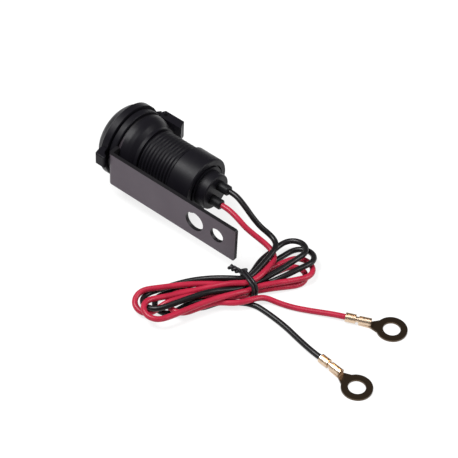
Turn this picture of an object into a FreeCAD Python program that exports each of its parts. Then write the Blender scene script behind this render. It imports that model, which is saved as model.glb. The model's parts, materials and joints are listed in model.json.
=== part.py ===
"""Flush-mount USB charging socket on a steel angle bracket, with two ring-ended supply wires.

The socket's axis runs along X, cap to the front at -X, wires leaving at +X.
Z = 0 is the table under the cap's rim, and X = 0 is midway between cap and bracket end.
"""
import FreeCAD, Part
import math
import os

import Sketcher

doc = FreeCAD.newDocument("usb_charging_socket")
sheet = doc.addObject("Spreadsheet::Sheet", "Sizes")
next_row = 1


class Length:
    """A number together with the spreadsheet expression that gives it."""

    def __init__(self, value, text):
        self.value = value
        self.text = text

    def __add__(self, other):
        other = as_length(other)
        return Length(self.value + other.value, f"({self.text} + {other.text})")

    def __sub__(self, other):
        other = as_length(other)
        return Length(self.value - other.value, f"({self.text} - {other.text})")

    def __mul__(self, factor):
        return Length(self.value * factor, f"({self.text} * {factor})")

    def __neg__(self):
        return Length(-self.value, f"(-1 * {self.text})")


def as_length(number):
    if isinstance(number, Length):
        return number
    return Length(float(number), str(float(number)))


def size(alias, value):
    """Writes one driving dimension to the sheet and returns it."""
    global next_row
    cell = f"A{next_row}"
    next_row += 1
    sheet.set(cell, str(value))
    sheet.setAlias(cell, alias)
    return Length(value, f"Sizes.{alias}")


# Lengths along the axis, from the cap's front to the end of the bracket
overall_length = size("overall_length", 95.5)
cap_depth = size("cap_depth", 9.9)
cap_gap = size("cap_gap", 0.5)
flange_thickness = size("flange_thickness", 3.5)
plate_thickness = size("plate_thickness", 2.0)
nut_length = size("nut_length", 9.5)
thread_length = size("thread_length", 20.6)
cover_length = size("cover_length", 13.0)
cover_overlap = size("cover_overlap", 9.0)
boss_length = size("boss_length", 6.3)
sleeve_length = size("sleeve_length", 6.2)

# Radii about the axis
cap_radius = size("cap_radius", 20.0)
cap_face_radius = size("cap_face_radius", 15.2)
flange_radius = size("flange_radius", 18.6)
nut_front_radius = size("nut_front_radius", 17.9)
nut_lip_radius = size("nut_lip_radius", 15.0)
barrel_radius = size("barrel_radius", 13.3)
thread_radius = size("thread_radius", 14.0)
thread_pitch = size("thread_pitch", 2.0)
bore_radius = size("bore_radius", 11.6)
cover_radius = size("cover_radius", 15.1)
boss_radius = size("boss_radius", 9.5)
sleeve_radius = size("sleeve_radius", 2.65)
sleeve_offset = size("sleeve_offset", 2.75)
wall = size("wall", 1.8)
spigot_length = size("spigot_length", 1.6)
spigot_radius = size("spigot_radius", 15.2)

# Bracket
plate_offset = size("plate_offset", 22.5)
plate_width = size("plate_width", 20.0)
bend_radius = size("bend_radius", 2.6)
ring_radius = size("ring_radius", 16.8)
ring_bore_radius = size("ring_bore_radius", 14.3)
large_hole_radius = size("large_hole_radius", 5.5)
small_hole_radius = size("small_hole_radius", 4.0)
end_margin = size("end_margin", 11.4)
hole_spacing = size("hole_spacing", 14.1)
corner_radius = size("corner_radius", 1.2)

# Cap hinge and thumb tab
lug_reach = size("lug_reach", 24.6)
lug_length = size("lug_length", 12.4)
lug_width = size("lug_width", 9.8)
lug_clear = size("lug_clear", 19.5)
hinge_slot = size("hinge_slot", 3.4)
tongue_width = size("tongue_width", 3.0)
pin_radius = size("pin_radius", 1.0)
pin_setback = size("pin_setback", 2.6)
pin_reach = size("pin_reach", 22.2)
eye_radius = size("eye_radius", 2.1)
tab_width = size("tab_width", 7.0)
tab_rise = size("tab_rise", 4.0)
tab_reach = size("tab_reach", 24.8)
edge_round = size("edge_round", 0.8)
bore_clearance = size("bore_clearance", 0.08)

# Ports and electronics
port_pitch = size("port_pitch", 10.0)
port_width = size("port_width", 13.1)
port_height = size("port_height", 5.7)
port_wall = size("port_wall", 0.4)
port_depth = size("port_depth", 14.0)
face_recess = size("face_recess", 3.5)
insert_depth = size("insert_depth", 12.0)
board_width = size("board_width", 20.0)
board_thickness = size("board_thickness", 1.6)
contact_pitch = size("contact_pitch", 2.3)

# Wires, hank and ring terminals
wire_radius = size("wire_radius", 1.3)
hank_height = size("hank_height", 10.0)
tie_radius = size("tie_radius", 0.8)
tie_x = size("tie_x", 59.7)
tie_y = size("tie_y", -25.5)
tie_turn = size("tie_turn", -20.3)
waist_width = size("waist_width", 14.4)
eye_outer_radius = size("eye_outer_radius", 7.5)
eye_hole_radius = size("eye_hole_radius", 4.2)
terminal_reach = size("terminal_reach", 22.5)
terminal_thickness = size("terminal_thickness", 1.0)
crimp_radius = size("crimp_radius", 2.3)
red_terminal_x = size("red_terminal_x", 126.3)
red_terminal_y = size("red_terminal_y", 0.6)
red_terminal_turn = size("red_terminal_turn", 25.5)
black_terminal_x = size("black_terminal_x", 135.5)
black_terminal_y = size("black_terminal_y", -39.0)
black_terminal_turn = size("black_terminal_turn", -4.6)

# Stations along the axis
cap_front = -overall_length * 0.5
flange_front = cap_front + cap_depth
cap_rear = flange_front - cap_gap
ring_front = flange_front + flange_thickness
nut_front = ring_front + plate_thickness
nut_rear = nut_front + nut_length
cover_front = nut_rear + thread_length
cover_rear = cover_front + cover_length
body_rear = cover_front + cover_overlap
boss_rear = cover_rear + boss_length
sleeve_rear = boss_rear + sleeve_length
plate_end = overall_length * 0.5
port_face = flange_front + face_recess
pin_x = flange_front + pin_setback
doc.recompute()

finished = []


def bind(thing, prop, length):
    thing.setExpression(prop, as_length(length).text)


def place_on_axis(thing):
    """Lifts a piece drawn about the axis to the axis's height over the table."""
    bind(thing, "Placement.Base.z", cap_radius)


def turn_to(thing, x, y, turn):
    """Lays a piece drawn about its own origin on the table, turned about the vertical."""
    thing.Placement = FreeCAD.Placement(vector(x, y), FreeCAD.Rotation(FreeCAD.Vector(0, 0, 1), turn.value))
    bind(thing, "Placement.Base.x", x)
    bind(thing, "Placement.Base.y", y)
    bind(thing, "Placement.Rotation.Angle", turn)


def new_body(label):
    body = doc.addObject("PartDesign::Body", label)
    body.Label = label
    finished.append(body)
    return body


def axis_body(label):
    body = new_body(label)
    place_on_axis(body)
    return body


def origin_feature(body, role):
    return next(item for item in body.Origin.OriginFeatures if item.Role == role)


def new_sketch(body, role, offset=0.0):
    """A sketch on one of the body's own origin planes, moved along the plane's normal."""
    sketch = body.newObject("Sketcher::SketchObject", "Sketch")
    sketch.AttachmentSupport = [(origin_feature(body, role), "")]
    sketch.MapMode = "FlatFace"
    bind(sketch, "AttachmentOffset.Base.z", offset)
    return sketch


def fix_point(sketch, geometry, position, x, y):
    for kind, length in (("DistanceX", as_length(x)), ("DistanceY", as_length(y))):
        index = sketch.addConstraint(Sketcher.Constraint(kind, -1, 1, geometry, position, length.value))
        sketch.setExpression(f"Constraints[{index}]", length.text)


def vector(x, y, z=0.0):
    return FreeCAD.Vector(as_length(x).value, as_length(y).value, as_length(z).value)


def add_outline(sketch, corners):
    """Closed outline of straight edges through the corners."""
    count = len(corners)
    points = [vector(x, y) for x, y in corners]
    lines = [sketch.addGeometry(Part.LineSegment(points[i], points[(i + 1) % count])) for i in range(count)]
    for i in range(count):
        sketch.addConstraint(Sketcher.Constraint("Coincident", lines[i], 2, lines[(i + 1) % count], 1))
    for line, (x, y) in zip(lines, corners):
        fix_point(sketch, line, 1, x, y)


def add_circle(sketch, x, y, radius):
    circle = sketch.addGeometry(Part.Circle(vector(x, y), FreeCAD.Vector(0, 0, 1), radius.value))
    fix_point(sketch, circle, 3, x, y)
    index = sketch.addConstraint(Sketcher.Constraint("Radius", circle, radius.value))
    sketch.setExpression(f"Constraints[{index}]", radius.text)


def revolve(body, corners, kind="PartDesign::Revolution"):
    """Turns an outline of (axial place, radius) corners about the socket's axis."""
    sketch = new_sketch(body, "XY_Plane")
    add_outline(sketch, corners)
    feature = body.newObject(kind, "Turned")
    feature.Profile = sketch
    feature.ReferenceAxis = (origin_feature(body, "X_Axis"), [""])
    feature.Angle = 360.0
    doc.recompute()
    return feature


def extrude(body, sketch, depth, midplane=False, cut=False, reverse=False):
    """Pads or pockets a sketch, and makes sure that the solid changed."""
    before = body.Shape.Volume if body.Tip else 0.0
    feature = body.newObject("PartDesign::Pocket" if cut else "PartDesign::Pad", "Cut" if cut else "Pad")
    feature.Profile = sketch
    bind(feature, "Length", depth)
    if midplane:
        feature.SideType = "Symmetric"
    feature.Reversed = reverse
    doc.recompute()
    change = body.Shape.Volume - before
    assert change < -1e-6 if cut else change > 1e-6, f"{body.Label}: {feature.Label} changed nothing"
    return feature


def edges_where(shape, test):
    return [f"Edge{i + 1}" for i, edge in enumerate(shape.Edges) if test(edge)]


def is_ring(edge, x, radius):
    """True for a round edge about the axis at one station, in the body's own frame."""
    curve = edge.Curve
    return (curve.TypeId == "Part::GeomCircle" and abs(curve.Radius - radius.value) < 1e-3
            and abs(curve.Center.x - x.value) < 1e-3 and abs(curve.Center.y) < 1e-3)


def is_vertical(edge):
    return edge.Curve.TypeId == "Part::GeomLine" and abs(edge.Curve.Direction.z) > 0.999


def dress(body, base, edges, amount, kind="Fillet"):
    """Rounds or chamfers named edges of a feature."""
    feature = body.newObject(f"PartDesign::{kind}", kind)
    feature.Base = (base, edges)
    bind(feature, "Radius" if kind == "Fillet" else "Size", amount)
    doc.recompute()
    return feature


def ring_dress(body, places, amount, kind="Fillet"):
    """Rounds or chamfers the round edges at the given (station, radius) places."""
    base = body.Tip
    names = edges_where(base.Shape, lambda edge: any(is_ring(edge, x, radius) for x, radius in places))
    return dress(body, base, names, amount, kind)


def make_box(label, low, extent):
    """A rectangular block bound to the sheet, given its low corner about the axis and its extent."""
    block = doc.addObject("Part::Box", label)
    for prop, length in zip(("Length", "Width", "Height"), extent):
        bind(block, prop, length)
    for prop, length in zip(("x", "y", "z"), low):
        bind(block, f"Placement.Base.{prop}", length)
    return block


def make_post(label, radius, height, place):
    """A round post standing along Z, given its base point."""
    post = doc.addObject("Part::Cylinder", label)
    bind(post, "Radius", radius)
    bind(post, "Height", height)
    for prop, length in zip(("x", "y", "z"), place):
        bind(post, f"Placement.Base.{prop}", length)
    return post


def make_group(label, members):
    """Several like solids kept together as one piece."""
    group = doc.addObject("Part::Compound", label)
    group.Links = members
    finished.append(group)
    return group


def build_cap():
    """Domed flip cap with a thumb tab on the bracket side and a hinge knuckle and tongue opposite."""
    body = axis_body("cap")
    rim_front = cap_rear - 3.6
    crown = cap_face_radius - 2.4
    revolve(body, [
        (cap_rear, cap_radius - wall), (cap_rear, cap_radius), (rim_front, cap_radius),
        (rim_front - 0.6, cap_radius - 0.7), (cap_front + 2.6, cap_face_radius + 2.2),
        (cap_front + 0.6, cap_face_radius), (cap_front, crown), (cap_front, 0.0),
        (cap_front + wall, 0.0), (cap_front + wall, crown),
        (cap_front + 4.2, cap_face_radius + 0.6), (rim_front + 0.4, cap_radius - wall)])
    dome_edges = [(cap_front + 2.6, cap_face_radius + 2.2), (cap_front + 0.6, cap_face_radius)]
    ring_dress(body, dome_edges, edge_round * 1.5)
    root = cap_radius - 0.9
    knuckle = new_sketch(body, "XY_Plane")
    knuckle_rear = pin_x - 3.6
    add_outline(knuckle, [
        (cap_rear - 3.3, root), (cap_rear - 2.2, cap_radius + 0.9), (knuckle_rear, pin_reach + 0.8),
        (knuckle_rear, root)])
    extrude(body, knuckle, lug_width, midplane=True)
    tongue = new_sketch(body, "XY_Plane")
    add_outline(tongue, [
        (cap_rear - 3.4, root), (cap_rear - 3.4, cap_radius + 0.6),
        (pin_x - 0.9, pin_reach + 1.9), (pin_x + 1.3, pin_reach - 1.6),
        (cap_rear + 0.1, cap_radius + 0.1), (cap_rear - 0.2, root)])
    extrude(body, tongue, tongue_width, midplane=True)
    eye = new_sketch(body, "XY_Plane")
    add_circle(eye, pin_x, pin_reach, eye_radius)
    extrude(body, eye, tongue_width, midplane=True)
    build_thumb_tab(body)
    hole = new_sketch(body, "XY_Plane")
    add_circle(hole, pin_x, pin_reach, pin_radius + bore_clearance)
    extrude(body, hole, lug_width, midplane=True, cut=True)


def build_thumb_tab(body):
    """Lip that a thumb pushes, a little above the axis, stepped back at its rear."""
    tab = new_sketch(body, "XY_Plane", tab_rise)
    tab_rear = ring_front - 0.6
    tab_root = -(cap_radius - 1.5)
    add_outline(tab, [
        (cap_rear - 3.2, tab_root), (cap_rear - 2.8, -(cap_radius + 2.4)), (cap_rear - 2.2, -tab_reach),
        (tab_rear, -tab_reach), (tab_rear, -(tab_reach - 1.8)), (cap_rear + 0.9, -(cap_radius + 1.6)),
        (cap_rear - 0.2, tab_root)])
    extrude(body, tab, tab_width, midplane=True)
    ends = edges_where(body.Tip.Shape, lambda edge: (
        abs(edge.BoundBox.YMin + tab_reach.value) < 1e-3
        and abs(edge.BoundBox.YMax + tab_reach.value) < 1e-3))
    dress(body, body.Tip, ends, edge_round)


def build_cap_seal():
    """Soft ring inside the cap that closes round the flange's spigot."""
    body = axis_body("cap_seal")
    outer = cap_radius - wall
    inner = spigot_radius + 0.4
    front = cap_rear - 2.2
    revolve(body, [
        (front, inner), (front, outer), (cap_rear, outer), (cap_rear + 0.15, outer - 0.8), (cap_rear, inner)])


def build_hinge_pin():
    pin = make_post("hinge_pin", pin_radius, lug_width, (pin_x, pin_reach, cap_radius - lug_width * 0.5))
    finished.append(pin)


def build_socket_body():
    """Flanged barrel with the forked hinge lug that stands clear beside the collar nut."""
    body = axis_body("socket_body")
    spigot_front = flange_front - spigot_length
    ridges = []
    for number in range(int(thread_length.value / thread_pitch.value)):
        foot = nut_rear + 0.5 + thread_pitch * number
        ridges += [
            (foot, barrel_radius), (foot + thread_pitch * 0.3, thread_radius),
            (foot + thread_pitch * 0.5, thread_radius), (foot + thread_pitch * 0.8, barrel_radius)]
    revolve(body, [
        (spigot_front, bore_radius), (spigot_front, spigot_radius), (flange_front, spigot_radius),
        (flange_front, flange_radius), (ring_front, flange_radius), (ring_front, barrel_radius)] + ridges + [
        (body_rear, barrel_radius), (body_rear, bore_radius)])
    ring_dress(body, [(flange_front, flange_radius), (ring_front, flange_radius)], as_length(0.5))
    lug_front = flange_front + 0.5
    lug_rear = lug_front + lug_length
    lug = new_sketch(body, "XY_Plane")
    add_outline(lug, [
        (lug_front, flange_radius - 1.6), (lug_front, cap_radius + 0.5), (lug_front - 0.9, cap_radius + 1.0),
        (lug_front - 0.9, pin_reach + 0.4), (lug_front + 0.1, lug_reach), (lug_rear, lug_reach),
        (lug_rear + 1.0, lug_reach - 3.0), (lug_rear + 2.4, lug_clear), (ring_front, lug_clear),
        (ring_front, flange_radius - 1.6)])
    extrude(body, lug, lug_width, midplane=True)
    tips = edges_where(body.Tip.Shape, lambda edge: (
        is_vertical(edge) and abs(edge.CenterOfMass.y - lug_reach.value) < 1e-3))
    dress(body, body.Tip, tips, edge_round * 0.5)
    slot = new_sketch(body, "XY_Plane")
    slot_rear = pin_x + eye_radius + 0.5
    slot_floor = flange_radius + 0.15
    slot_top = lug_reach + 1.0
    slot_mouth = flange_front - 1.0
    add_outline(slot, [
        (slot_mouth, slot_floor), (slot_mouth, slot_top), (slot_rear, slot_top), (slot_rear, slot_floor)])
    extrude(body, slot, hinge_slot, midplane=True, cut=True)
    hole = new_sketch(body, "XY_Plane")
    add_circle(hole, pin_x, pin_reach, pin_radius)
    extrude(body, hole, lug_width + 1.0, midplane=True, cut=True)


def port_levels():
    return (("upper", port_pitch * 0.5), ("lower", -port_pitch * 0.5))


def rectangle(half, low, high):
    """Corners of a rectangle that is even about the middle."""
    return [(-half, low), (half, low), (half, high), (-half, high)]


def build_port_insert():
    """Round plug in the bore with a rectangular seat for each port."""
    body = axis_body("port_insert")
    revolve(body, [
        (port_face, 0.0), (port_face, bore_radius), (port_face + insert_depth, bore_radius),
        (port_face + insert_depth, 0.0)])
    half = port_width * 0.5
    for _, level in port_levels():
        seat = new_sketch(body, "YZ_Plane", port_face)
        low = level - port_height * 0.5
        high = level + port_height * 0.5
        add_outline(seat, rectangle(half, low, high))
        extrude(body, seat, insert_depth, cut=True, reverse=True)


def build_port(name, level):
    """One port: folded steel shell, moulded tongue on its block, and four spring contacts."""
    shell = axis_body(f"usb_shell_{name}")
    half = port_width * 0.5
    low = level - port_height * 0.5
    high = level + port_height * 0.5
    rim = new_sketch(shell, "YZ_Plane", port_face)
    add_outline(rim, rectangle(half, low, high))
    hollow = rectangle(half - port_wall, low + port_wall, high - port_wall)
    add_outline(rim, hollow)
    extrude(shell, rim, port_depth)
    tongue = axis_body(f"usb_tongue_{name}")
    block_length = 3.0
    block = new_sketch(tongue, "YZ_Plane", port_face + port_depth - block_length)
    add_outline(block, hollow)
    extrude(tongue, block, as_length(block_length))
    blade_low = level + 0.3
    blade = new_sketch(tongue, "YZ_Plane", port_face + 1.0)
    add_outline(blade, rectangle(as_length(5.5), blade_low, blade_low + 1.8))
    extrude(tongue, blade, port_depth - block_length - 0.5)
    contact_width = 1.0
    contact_thickness = 0.2
    strips = []
    for number in range(4):
        middle = contact_pitch * (number - 1.5)
        strip = make_box(
            f"contact_{name}_{number}",
            (port_face + 2.0, middle - contact_width * 0.5, cap_radius + blade_low - contact_thickness),
            (port_depth - block_length - 2.0, contact_width, contact_thickness))
        strips.append(strip)
    make_group(f"usb_contacts_{name}", strips)


def build_electronics():
    """Converter board between the ports and the rear cover, with its tall parts."""
    front = port_face + insert_depth
    top = cap_radius + board_thickness * 0.5
    bottom = cap_radius - board_thickness * 0.5
    board = make_box(
        "circuit_board", (front, -board_width * 0.5, bottom),
        (body_rear - front, board_width, board_thickness))
    finished.append(board)
    inductor = make_post(
        "power_inductor", as_length(3.6), as_length(4.2), (front + 9.0, as_length(-4.5), top))
    finished.append(inductor)
    cans = []
    for number, across in enumerate((-0.4, 5.2)):
        place = (front + 14.0 + 2.4 * number, as_length(across), top)
        cans.append(make_post(f"capacitor_{number}", as_length(2.3), as_length(5.5), place))
    make_group("filter_capacitors", cans)
    chip_depth = as_length(1.5)
    chip = make_box(
        "converter_chip", (front + 6.0, as_length(-2.5), bottom - chip_depth), (6.0, 5.0, chip_depth))
    finished.append(chip)


def build_collar_nut():
    """Bell-shaped nut that clamps the bracket's ring against the flange."""
    body = axis_body("collar_nut")
    lip_front = nut_rear - 1.1
    shoulder = nut_front + 2.4
    revolve(body, [
        (nut_front, barrel_radius), (nut_front, nut_front_radius), (shoulder, nut_front_radius - 0.3),
        (nut_front + 5.0, nut_lip_radius + 1.6), (lip_front - 0.8, nut_lip_radius - 0.3),
        (lip_front, nut_lip_radius - 0.3), (lip_front + 0.1, nut_lip_radius), (nut_rear, nut_lip_radius),
        (nut_rear, barrel_radius)])
    bell_edges = [(shoulder, nut_front_radius - 0.3), (nut_front + 5.0, nut_lip_radius + 1.6)]
    ring_dress(body, bell_edges, edge_round * 5.0)


def build_bracket():
    """Angle bracket folded from one strip: a clamping ring, a bend and a drilled tail."""
    body = axis_body("bracket")
    outer = -plate_offset
    inner = outer + plate_thickness
    ring_rear = ring_front + plate_thickness
    strip = new_sketch(body, "XY_Plane")
    leg_end = -(ring_bore_radius + 1.5)
    add_outline(strip, [
        (ring_front, leg_end), (ring_front, outer), (plate_end, outer), (plate_end, inner),
        (ring_rear, inner), (ring_rear, leg_end)])
    extrude(body, strip, plate_width, midplane=True)
    folds = ((ring_front, outer, bend_radius), (ring_rear, inner, bend_radius - plate_thickness))
    for x, y, radius in folds:
        fold = edges_where(body.Tip.Shape, lambda edge: (
            is_vertical(edge) and abs(edge.CenterOfMass.x - x.value) < 1e-3
            and abs(edge.CenterOfMass.y - y.value) < 1e-3))
        dress(body, body.Tip, fold, radius)
    ends = edges_where(body.Tip.Shape, lambda edge: (
        edge.Curve.TypeId == "Part::GeomLine" and abs(edge.Curve.Direction.y) > 0.999
        and abs(edge.CenterOfMass.x - plate_end.value) < 1e-3))
    dress(body, body.Tip, ends, corner_radius)
    ring = new_sketch(body, "YZ_Plane", ring_front)
    add_circle(ring, 0.0, 0.0, ring_radius)
    extrude(body, ring, plate_thickness)
    bore = new_sketch(body, "YZ_Plane", ring_front - 1.0)
    add_circle(bore, 0.0, 0.0, ring_bore_radius)
    extrude(body, bore, plate_thickness + 2.0, cut=True, reverse=True)
    small_hole_x = plate_end - end_margin
    holes = new_sketch(body, "XZ_Plane", plate_offset + 1.0)
    add_circle(holes, small_hole_x, 0.0, small_hole_radius)
    add_circle(holes, small_hole_x - hole_spacing, 0.0, large_hole_radius)
    extrude(body, holes, plate_thickness + 2.0, cut=True)


def sleeve_places():
    """The black wire leaves above on the far side, the red one below on the bracket side."""
    return (("black", sleeve_offset), ("red", -sleeve_offset))


def build_rear_cover():
    """Cup over the barrel's end, with a stepped rear face and the boss that holds the two sleeves."""
    body = axis_body("rear_cover")
    collar_radius = boss_radius + 1.6
    groove_radius = collar_radius + 0.9
    groove_floor = cover_rear - 0.9
    step = cover_rear + 0.5
    revolve(body, [
        (cover_front, barrel_radius), (cover_front, cover_radius), (cover_rear, cover_radius),
        (cover_rear, groove_radius), (groove_floor, groove_radius), (groove_floor, collar_radius),
        (step, collar_radius), (step, boss_radius), (boss_rear, boss_radius), (boss_rear, 0.0),
        (body_rear, 0.0), (body_rear, barrel_radius)])
    ring_dress(body, [(cover_rear, cover_radius), (boss_rear, boss_radius)], as_length(0.8))
    for _, offset in sleeve_places():
        seat = new_sketch(body, "YZ_Plane", body_rear)
        add_circle(seat, offset, offset, sleeve_radius)
        extrude(body, seat, boss_rear - body_rear, cut=True, reverse=True)


def build_sleeves():
    """Two rubber sleeves that pass through the boss and end in a small chamfer."""
    for name, offset in sleeve_places():
        body = axis_body(f"{name}_sleeve")
        disc = new_sketch(body, "YZ_Plane", body_rear)
        add_circle(disc, offset, offset, sleeve_radius)
        pad = extrude(body, disc, sleeve_rear - body_rear)
        mouth = edges_where(pad.Shape, lambda edge: (
            edge.Curve.TypeId == "Part::GeomCircle" and abs(edge.Curve.Center.x - sleeve_rear.value) < 1e-3))
        dress(body, pad, mouth, as_length(0.5), "Chamfer")


def tube_path(points):
    """Straight runs joined by the largest tangent arcs that the runs allow, with the arcs' radii."""
    edges = []
    radii = []
    start = points[0]
    for before, corner, after in zip(points, points[1:], points[2:]):
        towards = corner - before
        onward = after - corner
        half_turn = towards.getAngle(onward) / 2
        reach = 0.45 * min(towards.Length, onward.Length)
        radii.append(round(reach / math.tan(half_turn), 1))
        towards.normalize()
        onward.normalize()
        first = corner - towards * reach
        last = corner + onward * reach
        edges.append(Part.LineSegment(start, first).toShape())
        edges.append(Part.Arc(first, arc_middle(first, last, corner), last).toShape())
        start = last
    edges.append(Part.LineSegment(start, points[-1]).toShape())
    return Part.Wire(edges), radii


def arc_middle(first, last, corner):
    """Middle of the arc that is tangent at both ends to the lines to the corner."""
    chord = (last - first).Length / 2
    centre = (first + last) * 0.5
    rise = (corner - centre).Length
    side = (corner - first).Length
    sagitta = chord * (side - chord) / rise
    return centre + (corner - centre) * (sagitta / rise)


def build_cord(label, points):
    """A plain round tube along one free stretch of wire."""
    path, radii = tube_path([FreeCAD.Vector(*point) for point in points])
    start = path.Edges[0]
    heading = start.tangentAt(start.FirstParameter)
    section = Part.Wire([Part.Circle(start.Vertexes[0].Point, heading, wire_radius.value).toShape()])
    tube = Part.Wire(path).makePipeShell([section], True, False)
    expected = math.pi * wire_radius.value ** 2 * path.Length
    ratio = round(tube.Volume / expected, 4)
    print(label, "length", round(path.Length, 1), "radii", radii, "volume ratio", ratio)
    cord = doc.addObject("Part::Feature", label)
    cord.Shape = tube
    cord.Placement = FreeCAD.Placement()
    finished.append(cord)


def build_cords():
    """The free stretches: from the sleeves to the hank, and from the hank to the terminals."""
    exit_x = sleeve_rear.value
    axis_z = cap_radius.value
    offset = sleeve_offset.value
    straight = exit_x + 4.5
    build_cord("red_lead", [
        (exit_x, -offset, axis_z - offset), (straight, -offset, axis_z - offset), (33.6, -3.2, 15.8),
        (39.2, -3.6, 13.2), (45.6, -2.8, 10.4), (52.4, -1.2, 8.2)])
    build_cord("black_lead", [
        (exit_x, offset, axis_z + offset), (straight, offset, axis_z + offset), (34.0, 1.9, 20.2),
        (39.6, 1.2, 16.8), (45.0, 1.4, 13.4), (50.0, 2.6, 10.6), (55.0, 2.6, 8.6)])
    red_mouth, red_line = terminal_entry(red_terminal_x, red_terminal_y, red_terminal_turn)
    build_cord("red_tail", [
        (69.0, -25.2, 3.0), (75.0, -23.6, 1.9), (83.0, -20.6, 1.4), (91.0, -16.6, 1.6), red_line, red_mouth])
    black_mouth, black_line = terminal_entry(black_terminal_x, black_terminal_y, black_terminal_turn)
    build_cord("black_tail", [
        (65.0, -30.6, 3.2), (72.0, -31.2, 1.9), (80.5, -31.6, 1.4), (89.0, -32.6, 1.4), (97.5, -34.6, 1.7),
        black_line, black_mouth])


def terminal_entry(x, y, turn):
    """Where a wire enters its terminal's crimp, and a point in line before it."""
    angle = math.radians(turn.value)
    heading = FreeCAD.Vector(math.cos(angle), math.sin(angle), 0.0)
    mouth = vector(x, y, crimp_radius) - heading * terminal_reach.value
    return tuple(mouth), tuple(mouth - heading * 6.0)


def build_wire_hank():
    """Outer shape of the loosely wound wires: two lobes either side of the tied waist."""
    body = new_body("wire_hank")
    outline = new_sketch(body, "XY_Plane")
    add_outline(outline, [
        (53.0, -23.0), (51.0, -13.0), (51.5, -3.0), (55.0, 7.0), (60.0, 13.0), (67.0, 13.0), (76.0, 9.0),
        (78.5, 0.0), (76.0, -12.0), (74.5, -21.0), (66.5, -28.0), (57.0, -43.0), (50.0, -57.0), (43.0, -71.0),
        (36.0, -76.5), (27.0, -75.5), (25.0, -67.0), (28.0, -55.0), (34.0, -44.0), (43.0, -33.0)])
    extrude(body, outline, hank_height)
    crown = edges_where(body.Tip.Shape, lambda edge: edge.BoundBox.ZMin > hank_height.value - 1e-3)
    dress(body, body.Tip, crown, as_length(2.0))


def build_hank_tie():
    """Twist tie drawn round the hank's waist."""
    body = new_body("hank_tie")
    turn_to(body, tie_x, tie_y, tie_turn)
    thickness = tie_radius * 2.0
    band = new_sketch(body, "XZ_Plane", -tie_radius)
    inner = waist_width * 0.5
    outer = inner + thickness
    add_outline(band, [(-inner, thickness), (inner, thickness), (inner, hank_height), (-inner, hank_height)])
    top = hank_height + thickness
    add_outline(band, [(-outer, 0.0), (outer, 0.0), (outer, top), (-outer, top)])
    extrude(body, band, thickness)


def build_terminal(name, x, y, turn):
    """Crimped ring terminal: insulation crimp, wire crimp, neck and a flat eye."""
    body = new_body(f"{name}_terminal")
    turn_to(body, x, y, turn)
    flat = new_sketch(body, "XY_Plane")
    add_circle(flat, 0.0, 0.0, eye_outer_radius)
    extrude(body, flat, terminal_thickness)
    neck = new_sketch(body, "XY_Plane")
    crimp_end = -(terminal_reach - 12.5)
    add_outline(neck, [
        (crimp_end - 6.0, -1.5), (crimp_end, -1.9), (-eye_outer_radius * 0.8, -4.0),
        (-eye_outer_radius * 0.8, 4.0), (crimp_end, 1.9), (crimp_end - 6.0, 1.5)])
    extrude(body, neck, terminal_thickness)
    stations = (
        (-terminal_reach, crimp_end - 7.5, crimp_radius),
        (crimp_end - 8.0, crimp_end - 5.5, crimp_radius - 0.9),
        (crimp_end - 6.0, crimp_end, crimp_radius - 0.3))
    for start, end, radius in stations:
        barrel = new_sketch(body, "YZ_Plane", start)
        add_circle(barrel, 0.0, crimp_radius, radius)
        extrude(body, barrel, end - start)
    seam = new_sketch(body, "YZ_Plane", -(terminal_reach + 1.0))
    seam_floor = crimp_radius * 2.0 - 1.1
    seam_top = crimp_radius * 2.0 + 0.4
    add_outline(seam, [(-0.6, seam_top), (0.0, seam_floor), (0.6, seam_top)])
    extrude(body, seam, crimp_end + terminal_reach + 1.0, cut=True, reverse=True)
    hole = new_sketch(body, "XY_Plane")
    add_circle(hole, 0.0, 0.0, eye_hole_radius)
    extrude(body, hole, terminal_thickness, cut=True, reverse=True)


build_cap()
build_cap_seal()
build_hinge_pin()
build_socket_body()
build_port_insert()
for port_name, port_level in port_levels():
    build_port(port_name, port_level)
build_electronics()
build_collar_nut()
build_bracket()
build_rear_cover()
build_sleeves()
build_cords()
build_wire_hank()
build_hank_tie()
build_terminal("red", red_terminal_x, red_terminal_y, red_terminal_turn)
build_terminal("black", black_terminal_x, black_terminal_y, black_terminal_turn)
doc.recompute()

for item in doc.Objects:
    assert not {"Invalid", "Error"} & set(item.State), f"{item.Label}: {item.State}"
os.makedirs("parts", exist_ok=True)
for piece in finished:
    assert not piece.Shape.isNull() and piece.Shape.isValid(), f"{piece.Label} is not a valid shape"
for piece in finished:
    piece.Shape.exportStep(f"parts/{piece.Label}.step")
print(len(finished), "pieces")
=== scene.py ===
"""Looks of the USB charging socket: finishes, wires wound in their hank, and the twist tie."""
import json
import math

import bpy
import numpy as np
from mathutils import Matrix, Vector


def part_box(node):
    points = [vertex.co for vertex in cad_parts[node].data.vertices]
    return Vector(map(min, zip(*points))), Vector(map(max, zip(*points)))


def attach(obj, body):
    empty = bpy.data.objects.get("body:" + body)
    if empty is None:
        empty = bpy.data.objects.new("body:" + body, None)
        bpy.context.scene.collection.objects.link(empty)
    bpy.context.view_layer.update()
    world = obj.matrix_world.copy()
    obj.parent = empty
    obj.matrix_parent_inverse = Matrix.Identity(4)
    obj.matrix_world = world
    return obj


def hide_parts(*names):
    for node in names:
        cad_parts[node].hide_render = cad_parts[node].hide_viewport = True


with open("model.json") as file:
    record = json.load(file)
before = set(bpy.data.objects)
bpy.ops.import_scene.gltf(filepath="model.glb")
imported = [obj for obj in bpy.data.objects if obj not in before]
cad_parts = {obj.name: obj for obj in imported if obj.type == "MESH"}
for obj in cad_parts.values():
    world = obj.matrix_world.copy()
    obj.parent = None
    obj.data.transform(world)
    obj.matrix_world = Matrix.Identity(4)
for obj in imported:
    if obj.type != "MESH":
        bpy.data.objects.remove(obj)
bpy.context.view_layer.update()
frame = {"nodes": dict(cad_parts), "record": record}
nodes = frame["nodes"]
scene = bpy.context.scene
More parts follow.
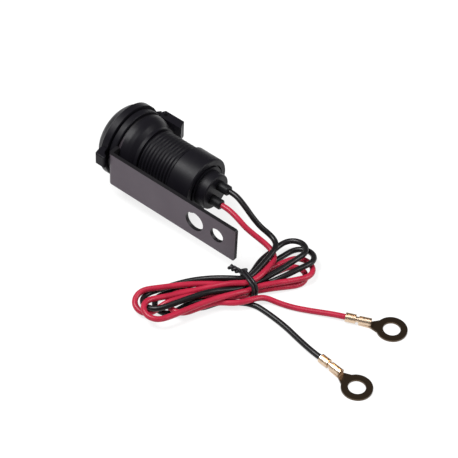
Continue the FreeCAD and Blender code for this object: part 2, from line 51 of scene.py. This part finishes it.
scene.view_settings.view_transform = "Standard"

MM = 0.001
UP = Vector((0.0, 0.0, 1.0))


# Main places, read from the frame

def sleeve_mouth(name):
    """The middle of a sleeve's rear face, where its wire comes out."""
    low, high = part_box(name)
    return Vector((high.x, (low.y + high.y) / 2, (low.z + high.z) / 2))


def ring_centre(name):
    """The middle of a terminal's eye, from the part's record."""
    mounts = frame["record"]["mounts"]
    return next(mount["pos_m"] for mount in mounts if mount["name"] == f"{name}_ring")


cover_low, cover_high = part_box("rear_cover")
axis_z = (cover_low.z + cover_high.z) / 2
red_exit = sleeve_mouth("red_sleeve")
black_exit = sleeve_mouth("black_sleeve")
tie_low, tie_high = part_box("hank_tie")


def link(name, data):
    thing = bpy.data.objects.new(name, data)
    scene.collection.objects.link(thing)
    return thing


# Camera

CAMERA_AZIMUTH = math.radians(37.6)
CAMERA_ELEVATION = math.radians(45.2)
CAMERA_ROLL = math.radians(3.2)
CAMERA_DISTANCE = 0.9
SENSOR_WIDTH = 36.0
PICTURE_WIDTH = 458
PIXELS_PER_METRE = 2030.0
AIM_POINT = Vector((10.75 * MM, 0.0, axis_z))
AIM_PIXEL = (206.2, 186.5)


def make_camera():
    """Looks at the socket as the photograph does; the aim point falls on the aim pixel."""
    back = Vector((math.sin(CAMERA_AZIMUTH) * math.cos(CAMERA_ELEVATION),
                   -math.cos(CAMERA_AZIMUTH) * math.cos(CAMERA_ELEVATION),
                   math.sin(CAMERA_ELEVATION)))
    level = Vector((math.cos(CAMERA_AZIMUTH), math.sin(CAMERA_AZIMUTH), 0.0))
    upright = back.cross(level)
    right = level * math.cos(CAMERA_ROLL) + upright * math.sin(CAMERA_ROLL)
    up = upright * math.cos(CAMERA_ROLL) - level * math.sin(CAMERA_ROLL)
    across = (AIM_PIXEL[0] - PICTURE_WIDTH / 2) / PIXELS_PER_METRE
    above = (PICTURE_WIDTH / 2 - AIM_PIXEL[1]) / PIXELS_PER_METRE
    place = AIM_POINT - right * across - up * above + back * CAMERA_DISTANCE
    lens = bpy.data.cameras.new("camera")
    lens.sensor_width = SENSOR_WIDTH
    lens.lens = PIXELS_PER_METRE * CAMERA_DISTANCE * SENSOR_WIDTH / PICTURE_WIDTH
    lens.clip_start = 0.05
    lens.clip_end = 20.0
    camera = link("camera", lens)
    turn = Matrix((right, up, back)).transposed().to_4x4()
    camera.matrix_world = Matrix.Translation(place) @ turn
    scene.camera = camera


# Nodes of materials

NOISE_LOW, NOISE_HIGH = 0.35, 0.65  # the part of a noise's range that makes the change


def new_material(name, color, roughness, metallic=0.0, sheen=0.5):
    material = bpy.data.materials.new(name)
    material.use_nodes = True
    shader = material.node_tree.nodes["Principled BSDF"]
    shader.inputs["Base Color"].default_value = (*color, 1)
    shader.inputs["Roughness"].default_value = roughness
    shader.inputs["Metallic"].default_value = metallic
    shader.inputs["Specular IOR Level"].default_value = sheen
    return material


def add_math(tree, operation, *values):
    """The output of a Math node that works on sockets or numbers."""
    node = tree.nodes.new("ShaderNodeMath")
    node.operation = operation
    for socket, value in zip(node.inputs, values):
        if isinstance(value, float):
            socket.default_value = value
        else:
            tree.links.new(value, socket)
    return node.outputs[0]


def add_noise(material, scale, detail=4.0):
    """A noise texture in the object's own space, in features per metre."""
    tree = material.node_tree
    place = tree.nodes.new("ShaderNodeTexCoord")
    noise = tree.nodes.new("ShaderNodeTexNoise")
    noise.inputs["Scale"].default_value = scale
    noise.inputs["Detail"].default_value = detail
    tree.links.new(place.outputs["Object"], noise.inputs["Vector"])
    return noise


def add_bump(material, source, strength, distance):
    """Roughens the surface by a noise; the distance is in metres."""
    tree = material.node_tree
    bump = tree.nodes.new("ShaderNodeBump")
    bump.inputs["Strength"].default_value = strength
    bump.inputs["Distance"].default_value = distance
    tree.links.new(source.outputs[0], bump.inputs["Height"])
    tree.links.new(bump.outputs["Normal"], tree.nodes["Principled BSDF"].inputs["Normal"])


def as_color(value):
    """A colour with its alpha, from a colour or from one grey level."""
    return (*value, 1) if isinstance(value, tuple) else (value, value, value, 1)


def vary(material, socket, source, low, high):
    """Drives a shader socket from a noise between two values or colours."""
    tree = material.node_tree
    ramp = tree.nodes.new("ShaderNodeValToRGB")
    first, last = ramp.color_ramp.elements
    first.position = NOISE_LOW
    last.position = NOISE_HIGH
    first.color = as_color(low)
    last.color = as_color(high)
    tree.links.new(source.outputs[0], ramp.inputs["Fac"])
    tree.links.new(ramp.outputs["Color"], tree.nodes["Principled BSDF"].inputs[socket])


def cover(material, color, mask, start, end):
    """Shows a colour where the mask is under start; the shader's own colour is back at end."""
    tree = material.node_tree
    base = tree.nodes["Principled BSDF"].inputs["Base Color"]
    edge = tree.nodes.new("ShaderNodeMapRange")
    edge.inputs["From Min"].default_value = start
    edge.inputs["From Max"].default_value = end
    tree.links.new(mask, edge.inputs["Value"])
    mix = tree.nodes.new("ShaderNodeMix")
    mix.data_type = "RGBA"
    mix.inputs["A"].default_value = (*color, 1)
    mix.inputs["B"].default_value = base.default_value
    if base.is_linked:
        tree.links.new(base.links[0].from_socket, mix.inputs["B"])
    tree.links.new(edge.outputs["Result"], mix.inputs["Factor"])
    tree.links.new(mix.outputs["Result"], base)


# Floor and light

FLOOR_HALF = 3.0
FLOOR_GLOW = 0.8  # share of plain white in the floor that the camera sees
WORLD_STRENGTH = 0.15
LAMP_SIZE = 0.5


def make_floor():
    """A white floor that keeps the object's shadow."""
    mesh = bpy.data.meshes.new("floor")
    half = FLOOR_HALF
    corners = [(-half, -half, 0), (half, -half, 0), (half, half, 0), (-half, half, 0)]
    mesh.from_pydata(corners, [], [(0, 1, 2, 3)])
    floor = link("floor", mesh)
    material = new_material("pale_floor", (0.93, 0.93, 0.93), roughness=0.9, sheen=0.1)
    tree = material.node_tree
    shader = tree.nodes["Principled BSDF"]
    white = tree.nodes.new("ShaderNodeEmission")
    ray = tree.nodes.new("ShaderNodeLightPath")
    seen = ray.outputs["Is Camera Ray"]
    for other in ("Is Glossy Ray", "Is Transmission Ray"):
        seen = add_math(tree, "MAXIMUM", seen, ray.outputs[other])
    mix = tree.nodes.new("ShaderNodeMixShader")
    tree.links.new(add_math(tree, "MULTIPLY", seen, FLOOR_GLOW), mix.inputs["Fac"])
    tree.links.new(shader.outputs["BSDF"], mix.inputs[1])
    tree.links.new(white.outputs["Emission"], mix.inputs[2])
    tree.links.new(mix.outputs["Shader"], tree.nodes["Material Output"].inputs["Surface"])
    mesh.materials.append(material)


def area_light(name, place, target, power):
    lamp = bpy.data.lights.new(name, "AREA")
    lamp.shape = "SQUARE"
    lamp.size = LAMP_SIZE
    lamp.energy = power
    light = link(name, lamp)
    light.location = place
    heading = Vector(target) - Vector(place)
    light.rotation_euler = heading.to_track_quat("-Z", "Y").to_euler()


def make_light():
    world = bpy.data.worlds.new("studio")
    world.use_nodes = True
    background = world.node_tree.nodes["Background"]
    background.inputs["Color"].default_value = (1, 1, 1, 1)
    background.inputs["Strength"].default_value = WORLD_STRENGTH
    scene.world = world
    area_light("key", place=(-0.25, -0.35, 0.9), target=(0.03, -0.02, 0.0), power=15.0)
    area_light("rear", place=(0.7, 0.35, 0.6), target=(0.03, 0.0, 0.0), power=6.0)


# Materials

# Bracket: the lighter purple-grey is a painted sheen on the broad faces, standing in for their
# reflection; the near-black is the coat itself
BRACKET_PAINTED_SHEEN = (0.08, 0.064, 0.079)
BRACKET_BLACK_COAT = (0.01, 0.009, 0.011)
BRASS = (0.76, 0.59, 0.43)
BRASS_SHADE = (0.64, 0.48, 0.34)
# Darker brown colour for the flat eye of each terminal; the crimps keep the bright brass
BRASS_DARK_EYE = (0.105, 0.072, 0.047)
DARK_EYE_REACH = (9.5 * MM, 11.5 * MM)  # from the eye's middle, where the brown starts to fade and ends


def moulded_plastic(name, color, roughness):
    """Moulded plastic with a fine spark texture and slightly uneven sheen."""
    material = new_material(name, color, roughness, sheen=0.13)
    cloud = add_noise(material, scale=90.0)
    vary(material, "Roughness", cloud, roughness - 0.06, roughness + 0.08)
    grain = add_noise(material, scale=5200.0, detail=2.0)
    add_bump(material, grain, strength=0.12, distance=0.00003)
    return material


def wire_insulation(name, color, shade):
    """Smooth soft plastic, in places a little darker."""
    material = new_material(name, color, roughness=0.34, sheen=0.25)
    cloud = add_noise(material, scale=130.0)
    vary(material, "Base Color", cloud, shade, color)
    add_bump(material, cloud, strength=0.1, distance=0.0001)
    return material


def black_steel_painted_sheen(name, color, coat_color, roughness):
    """Black coated steel with a painted sheen: faces that look along Y show the lighter colour,
    standing in for the reflection they catch; the other faces show the coat's own black.
    """
    material = new_material(name, color, roughness, metallic=0.55)
    cloud = add_noise(material, scale=60.0)
    vary(material, "Roughness", cloud, roughness - 0.05, roughness + 0.06)
    grain = add_noise(material, scale=3500.0, detail=2.0)
    add_bump(material, grain, strength=0.08, distance=0.00002)
    tree = material.node_tree
    place = tree.nodes.new("ShaderNodeTexCoord")
    parts = tree.nodes.new("ShaderNodeSeparateXYZ")
    tree.links.new(place.outputs["Normal"], parts.inputs["Vector"])
    # Painted sheen: faces whose normal lies along Y keep the lighter colour, all others get the
    # coat's black
    sheen_mask = add_math(tree, "ABSOLUTE", parts.outputs["Y"])
    cover(material, coat_color, sheen_mask, start=0.6, end=0.95)
    return material


def metal(name, color, roughness, shade):
    material = new_material(name, color, roughness, metallic=1.0)
    cloud = add_noise(material, scale=260.0)
    vary(material, "Base Color", cloud, shade, color)
    add_bump(material, cloud, strength=0.08, distance=0.00005)
    return material


def brass_dark_eye(name):
    """Brass that is dark brown on the flat eye and stays bright on the crimps."""
    material = metal(f"{name}_terminal_brass", BRASS, 0.32, BRASS_SHADE)
    tree = material.node_tree
    place = tree.nodes.new("ShaderNodeTexCoord")
    away = tree.nodes.new("ShaderNodeVectorMath")
    away.operation = "DISTANCE"
    away.inputs[1].default_value = ring_centre(name)
    tree.links.new(place.outputs["Object"], away.inputs[0])
    cover(material, BRASS_DARK_EYE, away.outputs["Value"], *DARK_EYE_REACH)
    return material


def paint(material, *names):
    for name in names:
        mesh = nodes[name].data
        mesh.materials.clear()
        mesh.materials.append(material)


def make_materials():
    paint(moulded_plastic("black_plastic", (0.0055, 0.005, 0.007), 0.4),
          "cap", "socket_body", "collar_nut", "rear_cover")
    paint(moulded_plastic("black_rubber", (0.006, 0.006, 0.007), 0.42),
          "cap_seal", "red_sleeve", "black_sleeve")
    paint(black_steel_painted_sheen("bracket_steel", BRACKET_PAINTED_SHEEN, BRACKET_BLACK_COAT, 0.45),
          "bracket")
    paint(metal("bright_steel", (0.62, 0.62, 0.64), 0.25, (0.5, 0.5, 0.52)),
          "usb_shell_upper", "usb_shell_lower")
    paint(metal("blackened_steel", (0.02, 0.02, 0.022), 0.4, (0.014, 0.014, 0.015)),
          "hinge_pin")
    paint(moulded_plastic("port_plastic", (0.03, 0.03, 0.033), 0.5),
          "port_insert")
    paint(moulded_plastic("tongue_plastic", (0.7, 0.7, 0.67), 0.45),
          "usb_tongue_upper", "usb_tongue_lower")
    paint(metal("contact_gold", (0.8, 0.6, 0.3), 0.25, (0.7, 0.5, 0.22)),
          "usb_contacts_upper", "usb_contacts_lower")
    paint(moulded_plastic("solder_mask", (0.03, 0.16, 0.06), 0.4),
          "circuit_board")
    paint(moulded_plastic("ferrite", (0.07, 0.07, 0.075), 0.7),
          "power_inductor", "converter_chip")
    paint(metal("can_aluminium", (0.65, 0.65, 0.67), 0.35, (0.5, 0.5, 0.52)),
          "filter_capacitors")
    paint(brass_dark_eye("red"), "red_terminal")
    paint(brass_dark_eye("black"), "black_terminal")


# Wires: lengths with MM are in metres, the others and all points of the routes in millimetres

WIRE_DIAMETER = 2.9 * MM
EXIT_RUN = 4.5  # straight out of the sleeve
TERMINAL_TURNS = {"red": math.radians(25.5), "black": math.radians(-4.6)}
TERMINAL_REACH = 22.5 * MM
CRIMP_HEIGHT = 2.3 * MM
CRIMP_RUN = 6.0  # straight into the crimp

# The tie's place and heading, and the slots in it that the strands go through
TIE = Vector(((tie_low.x + tie_high.x) / 2, (tie_low.y + tie_high.y) / 2, 0.0))
TIE_TURN = math.radians(-20.3)
TIE_ACROSS = Vector((math.cos(TIE_TURN), math.sin(TIE_TURN), 0.0))
TIE_ALONG = Vector((-math.sin(TIE_TURN), math.cos(TIE_TURN), 0.0))
TIE_LEVELS = (2.9, 5.6, 8.3)
TIE_COLUMNS = (-4.05, -1.35, 1.35, 4.05)
TIE_MIDDLE = TIE_LEVELS[1]
TIE_REACH = 4.5
LEFTWARD, RIGHTWARD = False, True

# The tie's own wire
TIE_RADIUS = 0.85 * MM
TIE_HALF_WIDTH = 6.3
TIE_HALF_HEIGHT = 4.75
TIE_ADVANCE = 3.5  # along the strands, over both windings
TIE_WINDINGS = 2
TIE_STEPS = 24
TIE_START = math.radians(140)
TIE_SQUARENESS = 0.6
TWIST_HEADING = Vector((-0.92, -0.25, 0.2))
TWIST_POINTS = 10
TWIST_ANGLE = 0.8
TWIST_START = 1.2
TWIST_STEP = 0.5

# The turns of the hank
LOBE_SWEEP = math.radians(105)
LOBE_STEP = math.radians(15)
BOW_SHARE = 0.55  # place of a strand's bow on its way from the tie to the lobe
SPACING = 1.9 * MM

# Parting of the strands
SETTLE_ROUNDS = 300
EASE_ROUNDS = 2
STRAND_ROOM = 1.09 * WIRE_DIAMETER  # between the middles of two strands
TIE_ROOM = WIRE_DIAMETER / 2 + 1.1 * TIE_RADIUS  # between a strand's middle and the tie wire's
HELD_ALONG = 3.5 * MM  # inside the tie, where strands stay
HELD_ACROSS = 5.5 * MM
LOOSE_POINTS = 3  # of a lead or tail, next to the hank, that may move
NEIGHBOURS = 6  # points this near along one wire don't push each other
PUSH = 0.3  # share of an overlap that one round takes away
FIRST_BLEND, LAST_BLEND = 0.25, 0.06  # how far a push spreads to the next points
FIRST_SHARE = 0.6  # of the rounds have the first blend
TINY = 1e-9  # keeps a distance from being zero


def in_metres(points):
    return [Vector(point) * MM for point in points]


def at_tie(across, along, height):
    """A point given from the tie: across its width, along its strands, and above the table."""
    return TIE + (TIE_ACROSS * across + TIE_ALONG * along + UP * height) * MM


def tie_pass(column, level, rightward):
    """Three points straight through the tie, in the order that the strand goes through it."""
    ends = [at_tie(TIE_COLUMNS[column], along, TIE_LEVELS[level])
            for along in (-TIE_REACH, 0.0, TIE_REACH)]
    return ends if rightward else ends[::-1]


def lobe(x, y, height, radius, bow_out=0.0, bow_back=0.0, fall=0.0):
    """The round end of one turn, counter-clockwise.

    Its strands bow outwards on the way out and back, and it falls from its first point to its last.
    """
    centre = Vector((x, y, height)) * MM
    outward = math.atan2(centre.y - TIE.y, centre.x - TIE.x)
    side = Vector((math.sin(outward), -math.cos(outward), 0.0))
    steps = int(2 * LOBE_SWEEP / LOBE_STEP)
    points = []
    for step in range(steps + 1):
        angle = outward - LOBE_SWEEP + 2 * LOBE_SWEEP * step / steps
        arm = Vector((math.cos(angle), math.sin(angle), 0.0)) * radius
        spoke = arm - UP * fall * step / steps
        points.append(centre + spoke * MM)
    waist = TIE + UP * TIE_MIDDLE * MM
    out = waist.lerp(points[0], BOW_SHARE) + side * bow_out * MM
    back = waist.lerp(points[-1], BOW_SHARE) - side * bow_back * MM
    return [out] + points + [back]


def smooth(points, rounds=3):
    """Rounds a chain of points by cutting its corners, and keeps both ends."""
    for _ in range(rounds):
        cut = [points[0]]
        for a, b in zip(points, points[1:]):
            cut += [a.lerp(b, 0.25), a.lerp(b, 0.75)]
        points = cut + [points[-1]]
    return points


def evenly(points):
    """The same chain with its points about one spacing apart."""
    spaced = [points[0]]
    carried = 0.0
    for a, b in zip(points, points[1:]):
        run = (b - a).length
        while carried + run >= SPACING:
            part = (SPACING - carried) / run
            a = a.lerp(b, part)
            spaced.append(a)
            run = (b - a).length
            carried = 0.0
        carried += run
    if carried < SPACING / 2:
        spaced.pop()
    return spaced + [points[-1]]


def chain(points):
    return evenly(smooth(points))


def pushed(spots, others, room, spared):
    """How each spot is pushed by the others that lie nearer than the room, save those spared."""
    gap = spots[:, None] - others[None]
    distance = np.linalg.norm(gap, axis=2) + TINY
    push = np.where(spared, 0.0, np.maximum(0.0, room - distance)) / distance
    return (gap * push[..., None]).sum(axis=1) * PUSH


def settle(strands, ends, tie_points):
    """Parts the strands wherever one lies in another, a little at a time.

    They stay smooth and on the table. ends gives, for each strand, how many points of its lead and
    of its tail stay where they are. What is inside the tie stays too.
    """
    first = np.array([tuple(p) for strand in strands for p in strand])
    owner = np.concatenate([np.full(len(strand), k) for k, strand in enumerate(strands)])
    order = np.arange(len(first))
    members = [order[owner == k] for k in range(len(strands))]
    near = abs(order[:, None] - order[None, :]) < NEIGHBOURS
    kin = (owner[:, None] == owner[None, :]) & near
    along = (first - np.array(TIE)) @ np.array(TIE_ALONG)
    across = (first - np.array(TIE)) @ np.array(TIE_ACROSS)
    free = ((abs(along) > HELD_ALONG) | (abs(across) > HELD_ACROSS)).astype(float)
    for mine, (lead_count, tail_count) in zip(members, ends):
        free[mine[:lead_count]] = free[mine[-tail_count:]] = 0.0
    band = np.array([tuple(p) for p in tie_points])
    spots = first.copy()
    for turn in range(SETTLE_ROUNDS):
        move = pushed(spots, spots, STRAND_ROOM, kin) + pushed(spots, band, TIE_ROOM, False)
        shift = (spots + move - first) * free[:, None]
        blend = FIRST_BLEND if turn < SETTLE_ROUNDS * FIRST_SHARE else LAST_BLEND
        for mine in members:
            part = shift[mine]
            part[1:-1] = blend * part[:-2] + (1 - 2 * blend) * part[1:-1] + blend * part[2:]
            shift[mine] = part
        spots = first + shift
        spots[:, 2] = np.clip(spots[:, 2], WIRE_DIAMETER / 2, None)
    for _ in range(EASE_ROUNDS):
        for mine in members:
            part = spots[mine]
            mean = (part[:-2] + 2 * part[1:-1] + part[2:]) / 4
            part[1:-1] += (mean - part[1:-1]) * free[mine][1:-1, None]
            spots[mine] = part
    return [[Vector(p) for p in spots[mine]] for mine in members]


def sleeve_run(exit_point):
    """The straight start of a wire, out of its sleeve."""
    return [exit_point, exit_point + Vector((EXIT_RUN * MM, 0.0, 0.0))]


def terminal_entry(name):
    """Where a wire enters its terminal's crimp, and a point in line before it."""
    x, y, _ = ring_centre(name)
    angle = TERMINAL_TURNS[name]
    heading = Vector((math.cos(angle), math.sin(angle), 0.0))
    mouth = Vector((x, y, CRIMP_HEIGHT)) - heading * TERMINAL_REACH
    return [mouth - heading * CRIMP_RUN * MM, mouth]


def red_route():
    """The red wire's lead, its turns in the hank and its tail."""
    lead = sleeve_run(red_exit)
    lead += in_metres([(33.6, -3.2, 15.8), (39.2, -3.6, 13.2), (45.6, -2.8, 10.4)])
    wound = in_metres([(51.6, -1.8, 7.8), (56.4, -2.6, 6.2),
                       (59.8, -6.2, 6.2), (61.4, -12.4, 7.2)])
    wound += tie_pass(2, 2, LEFTWARD) + lobe(39.3, -68.4, 5.0, 6.2, 1.0, 0.5)
    wound += tie_pass(3, 1, RIGHTWARD) + lobe(70.8, -0.4, 3.2, 7.0, 1.5, 1.0)
    wound += tie_pass(1, 1, LEFTWARD) + lobe(31.5, -66.0, 6.0, 6.4, 2.5, 0.0, fall=3.0)
    wound += tie_pass(3, 0, RIGHTWARD) + lobe(70.2, -4.0, 1.5, 6.6, 1.5, 1.0)
    wound += tie_pass(1, 0, LEFTWARD) + lobe(42.0, -56.0, 2.0, 6.2)
    wound += [at_tie(6.6, -12.0, 4.2), at_tie(8.6, -4.5, 4.6)]
    tail = in_metres([(69.0, -25.2, 3.0), (75.0, -23.6, 1.9),
                      (83.0, -20.6, 1.4), (91.0, -16.6, 1.6)])
    return lead, wound, tail + terminal_entry("red")


def black_route():
    """The black wire's lead, its turns in the hank and its tail."""
    lead = sleeve_run(black_exit)
    lead += in_metres([(34.0, 1.9, 20.2), (39.6, 1.2, 16.8),
                       (45.0, 1.4, 13.4), (50.0, 2.6, 10.6)])
    wound = in_metres([(54.0, 2.0, 9.4), (56.8, -0.4, 9.1),
                       (58.0, -4.4, 8.9), (58.8, -11.0, 8.6)])
    wound += tie_pass(1, 2, LEFTWARD) + lobe(33.2, -63.5, 3.2, 6.2, 4.5, 0.0)
    wound += tie_pass(2, 1, RIGHTWARD) + lobe(61.8, 4.8, 8.4, 7.4, 1.5, 3.0, fall=4.0)
    wound += tie_pass(0, 1, LEFTWARD) + lobe(36.6, -58.6, 1.6, 6.2, 4.0, 0.0)
    wound += tie_pass(2, 0, RIGHTWARD) + lobe(66.8, 4.2, 6.8, 7.6, 2.5, 2.0, fall=4.4)
    wound += tie_pass(0, 0, LEFTWARD) + lobe(45.7, -46.2, 1.5, 6.0)
    wound += [at_tie(3.4, -9.4, 1.5)]
    tail = in_metres([(64.4, -32.0, 1.5), (72.0, -31.2, 1.5), (80.5, -31.6, 1.5),
                      (89.0, -32.6, 1.5), (97.5, -34.6, 1.7)])
    return lead, wound, tail + terminal_entry("black")


def round_curve(name, points, radius, material, bevel_resolution):
    """A round wire along a smooth curve."""
    curve = bpy.data.curves.new(name, "CURVE")
    curve.dimensions = "3D"
    curve.bevel_depth = radius
    curve.bevel_resolution = bevel_resolution
    curve.use_fill_caps = True
    spline = curve.splines.new("NURBS")
    spline.points.add(len(points) - 1)
    for control, point in zip(spline.points, points):
        control.co = (*point, 1.0)
    spline.order_u = 3
    spline.use_endpoint_u = True
    spline.resolution_u = 4
    curve.materials.append(material)
    return link(name, curve)


def make_wire(name, points, material, node_names):
    """One wire, through its free stretches and its turns in the hank."""
    wire = round_curve(name, points, WIRE_DIAMETER / 2, material, bevel_resolution=5)
    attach(wire, "socket")
    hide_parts(*node_names)
    return wire


def make_wires(tie, tie_points):
    red = wire_insulation("red_insulation", (0.36, 0.015, 0.04), (0.3, 0.011, 0.032))
    black = wire_insulation("black_insulation", (0.008, 0.007, 0.008), (0.005, 0.0045, 0.005))
    strands = []
    ends = []
    for lead, wound, tail in (red_route(), black_route()):
        strands.append(chain(lead + wound + tail))
        ends.append((len(chain(lead)) - LOOSE_POINTS, len(chain(tail)) - LOOSE_POINTS))
    red_points, black_points = settle(strands, ends, tie_points)
    red_wire = make_wire("red_wire", red_points, red, ["red_lead", "red_tail"])
    black_wire = make_wire("black_wire", black_points, black,
                           ["black_lead", "black_tail", "wire_hank"])


def squared(value):
    """Draws a sine or cosine outwards, so that a circle becomes a rounded square."""
    return math.copysign(abs(value) ** TIE_SQUARENESS, value)


def make_tie():
    """Coated wire drawn twice round the hank's waist, its two ends twisted together on top."""
    ring = []
    last = TIE_WINDINGS * TIE_STEPS
    for step in range(last + 1):
        angle = TIE_START - 2 * math.pi * step / TIE_STEPS
        across = TIE_HALF_WIDTH * squared(math.cos(angle))
        height = TIE_MIDDLE + TIE_HALF_HEIGHT * squared(math.sin(angle))
        ring.append(at_tie(across, TIE_ADVANCE * (step / last - 0.5), height))
    tails = []
    for phase in (0.0, math.pi):
        twist = []
        for step in range(TWIST_POINTS):
            angle = phase + step * TWIST_ANGLE
            out = TWIST_HEADING * (TWIST_START + step * TWIST_STEP) * MM
            turned = UP * math.sin(angle) + TIE_ALONG * math.cos(angle)
            twist.append(ring[0] + out + turned * TIE_RADIUS)
        tails.append(twist)
    points = tails[0][::-1] + ring + tails[1]
    coating = wire_insulation("tie_coating", (0.012, 0.011, 0.013), (0.008, 0.008, 0.009))
    tie = round_curve("twist_tie", points, TIE_RADIUS, coating, bevel_resolution=4)
    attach(tie, "socket")
    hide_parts("hank_tie")
    return tie, ring


make_camera()
make_floor()
make_light()
make_materials()
make_wires(*make_tie())
